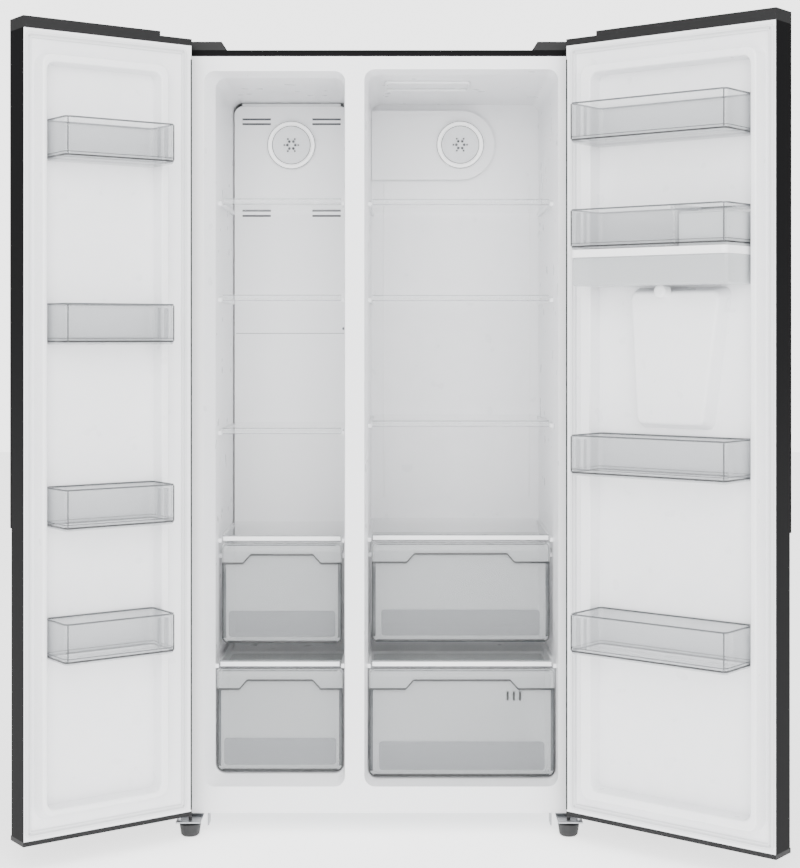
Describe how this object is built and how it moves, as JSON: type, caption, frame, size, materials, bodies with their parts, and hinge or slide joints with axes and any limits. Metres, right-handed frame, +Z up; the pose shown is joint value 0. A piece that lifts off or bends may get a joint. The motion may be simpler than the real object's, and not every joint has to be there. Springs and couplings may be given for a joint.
{
  "type": "side by side refrigerator",
  "caption": "Free-standing side by side refrigerator with both doors open, glass shelves, clear drawers, door bins and a tank-fed water dispenser.",
  "frame": {"origin": "on the floor under the middle of the cabinet", "axes": "+Z up, the open front faces -Y, +X to the right seen from the front"},
  "size_m": [1.6277, 1.0321, 1.78],
  "materials": {
    "black_steel": "satin",
    "black_moulding": "satin",
    "white_liner": "gloss",
    "white_moulding": "satin",
    "lamp_moulding": "satin",
    "rail_moulding": "gloss",
    "shelf_glass": "gloss",
    "clear_grey_moulding": "gloss",
    "drawer_moulding": "gloss",
    "tank_moulding": "satin",
    "gasket_rubber": "matte",
    "insulation_foam": "matte",
    "zinc_steel": "satin",
    "galvanised_steel": "satin",
    "foot_moulding": "matte",
    "grey_moulding": "matte",
    "compressor_enamel": "gloss",
    "coil_aluminium": "satin",
    "fan_moulding": "satin"
  },
  "bodies": {
    "cabinet": {"base_pan": "galvanised_steel", "cabinet_foam": "insulation_foam", "cabinet_shell": "black_steel", "compressor": "compressor_enamel", "condenser": "coil_aluminium", "control_box": "fan_moulding", "drain_pan": "grey_moulding", "evaporator": "coil_aluminium", "fan_motors": "fan_moulding", "freezer_air_cover": "white_moulding", "freezer_liner": "white_liner", "fridge_air_duct": "white_moulding", "fridge_liner": "white_liner", "front_frame": "white_moulding", "hinge_covers": "black_moulding", "lamp_covers": "lamp_moulding", "lower_hinges": "zinc_steel", "machine_cover": "galvanised_steel", "power_inlet": "fan_moulding", "rear_panel": "galvanised_steel", "shelf_glass": "shelf_glass", "shelf_rails": "rail_moulding", "upper_hinges": "zinc_steel"},
    "left_door": {"left_door_skin": "black_steel", "left_door_foam": "insulation_foam", "left_door_liner": "white_liner", "left_door_gasket": "gasket_rubber", "left_door_trims": "black_moulding"},
    "right_door": {"right_door_skin": "black_steel", "right_door_foam": "insulation_foam", "right_door_liner": "white_liner", "right_door_gasket": "gasket_rubber", "right_door_trims": "black_moulding", "water_tank": "tank_moulding", "tank_cover": "white_moulding", "dispenser_recess": "black_moulding"},
    "freezer_bin_1": {"freezer_bin_1": "clear_grey_moulding"},
    "freezer_bin_2": {"freezer_bin_2": "clear_grey_moulding"},
    "freezer_bin_3": {"freezer_bin_3": "clear_grey_moulding"},
    "freezer_bin_4": {"freezer_bin_4": "clear_grey_moulding"},
    "fridge_bin_1": {"fridge_bin_1": "clear_grey_moulding"},
    "fridge_bin_2": {"fridge_bin_2": "clear_grey_moulding"},
    "fridge_bin_3": {"fridge_bin_3": "clear_grey_moulding"},
    "fridge_bin_4": {"fridge_bin_4": "clear_grey_moulding"},
    "freezer_upper_drawer": {"freezer_upper_drawer_tub": "drawer_moulding", "freezer_upper_drawer_front": "drawer_moulding"},
    "freezer_lower_drawer": {"freezer_lower_drawer_tub": "drawer_moulding", "freezer_lower_drawer_front": "drawer_moulding"},
    "fridge_upper_drawer": {"fridge_upper_drawer_tub": "drawer_moulding", "fridge_upper_drawer_front": "drawer_moulding"},
    "fridge_lower_drawer": {"fridge_lower_drawer_tub": "drawer_moulding", "fridge_lower_drawer_front": "drawer_moulding"},
    "tank_lid": {"tank_lid": "tank_moulding"},
    "dispenser_lever": {"dispenser_lever": "black_moulding"},
    "drip_tray": {"drip_tray": "black_moulding"},
    "evaporator_fan": {"evaporator_fan": "fan_moulding"},
    "condenser_fan": {"condenser_fan": "fan_moulding"},
    "rear_rollers": {"rear_rollers": "grey_moulding"},
    "left_foot": {"left_foot": "foot_moulding"},
    "right_foot": {"right_foot": "foot_moulding"}
  },
  "joints": [
    {"name": "left_door_hinge", "type": "hinge", "parent": "cabinet", "child": "left_door", "pos_m": [-0.4435, -0.334, 0.9], "axis": [0, 0, -1], "range_deg": [-144, 6]},
    {"name": "right_door_hinge", "type": "hinge", "parent": "cabinet", "child": "right_door", "pos_m": [0.4435, -0.334, 0.9], "axis": [0, 0, 1], "range_deg": [-141, 9]},
    {"name": "freezer_bin_1_lift", "type": "slide", "parent": "left_door", "child": "freezer_bin_1", "axis": [0, 0, 1], "range_m": [0, 0.035]},
    {"name": "freezer_bin_2_lift", "type": "slide", "parent": "left_door", "child": "freezer_bin_2", "axis": [0, 0, 1], "range_m": [0, 0.035]},
    {"name": "freezer_bin_3_lift", "type": "slide", "parent": "left_door", "child": "freezer_bin_3", "axis": [0, 0, 1], "range_m": [0, 0.035]},
    {"name": "freezer_bin_4_lift", "type": "slide", "parent": "left_door", "child": "freezer_bin_4", "axis": [0, 0, 1], "range_m": [0, 0.035]},
    {"name": "fridge_bin_1_lift", "type": "slide", "parent": "right_door", "child": "fridge_bin_1", "axis": [0, 0, 1], "range_m": [0, 0.035]},
    {"name": "fridge_bin_2_lift", "type": "slide", "parent": "right_door", "child": "fridge_bin_2", "axis": [0, 0, 1], "range_m": [0, 0.012]},
    {"name": "fridge_bin_3_lift", "type": "slide", "parent": "right_door", "child": "fridge_bin_3", "axis": [0, 0, 1], "range_m": [0, 0.035]},
    {"name": "fridge_bin_4_lift", "type": "slide", "parent": "right_door", "child": "fridge_bin_4", "axis": [0, 0, 1], "range_m": [0, 0.035]},
    {"name": "freezer_upper_drawer_slide", "type": "slide", "parent": "cabinet", "child": "freezer_upper_drawer", "axis": [0, -1, 0], "range_m": [0, 0.26]},
    {"name": "freezer_lower_drawer_slide", "type": "slide", "parent": "cabinet", "child": "freezer_lower_drawer", "axis": [0, -1, 0], "range_m": [0, 0.22]},
    {"name": "fridge_upper_drawer_slide", "type": "slide", "parent": "cabinet", "child": "fridge_upper_drawer", "axis": [0, -1, 0], "range_m": [0, 0.3]},
    {"name": "fridge_lower_drawer_slide", "type": "slide", "parent": "cabinet", "child": "fridge_lower_drawer", "axis": [0, -1, 0], "range_m": [0, 0.22]},
    {"name": "tank_lid_hinge", "type": "hinge", "parent": "right_door", "child": "tank_lid", "pos_m": [0.72413, -0.61272, 1.365], "axis": [-0.7771, 0.6293, 0], "range_deg": [0, 85]},
    {"name": "dispenser_lever_hinge", "type": "hinge", "parent": "right_door", "child": "dispenser_lever", "pos_m": [0.64391, -0.49886, 1.16], "axis": [-0.7771, 0.6293, 0], "range_deg": [0, 6], "stiffness_Nm_per_rad": 0.6, "springref_deg": -2.86},
    {"name": "drip_tray_slide", "type": "slide", "parent": "right_door", "child": "drip_tray", "axis": [0.6293, 0.7771, 0], "range_m": [0, 0.045]},
    {"name": "evaporator_fan_spin", "type": "hinge", "parent": "cabinet", "child": "evaporator_fan", "pos_m": [-0.2275, 0.18, 1.592], "axis": [0, 1, 0], "continuous": true},
    {"name": "condenser_fan_spin", "type": "hinge", "parent": "cabinet", "child": "condenser_fan", "pos_m": [0.06, 0.2, 0.155], "axis": [1, 0, 0], "continuous": true},
    {"name": "rear_rollers_roll", "type": "hinge", "parent": "cabinet", "child": "rear_rollers", "pos_m": [0, 0.252, 0.018], "axis": [1, 0, 0], "continuous": true},
    {"name": "left_foot_turn", "type": "hinge", "parent": "cabinet", "child": "left_foot", "pos_m": [-0.422, -0.324, 0.015], "axis": [0, 0, 1], "continuous": true},
    {"name": "right_foot_turn", "type": "hinge", "parent": "cabinet", "child": "right_foot", "pos_m": [0.422, -0.324, 0.015], "axis": [0, 0, 1], "continuous": true}
  ]
}
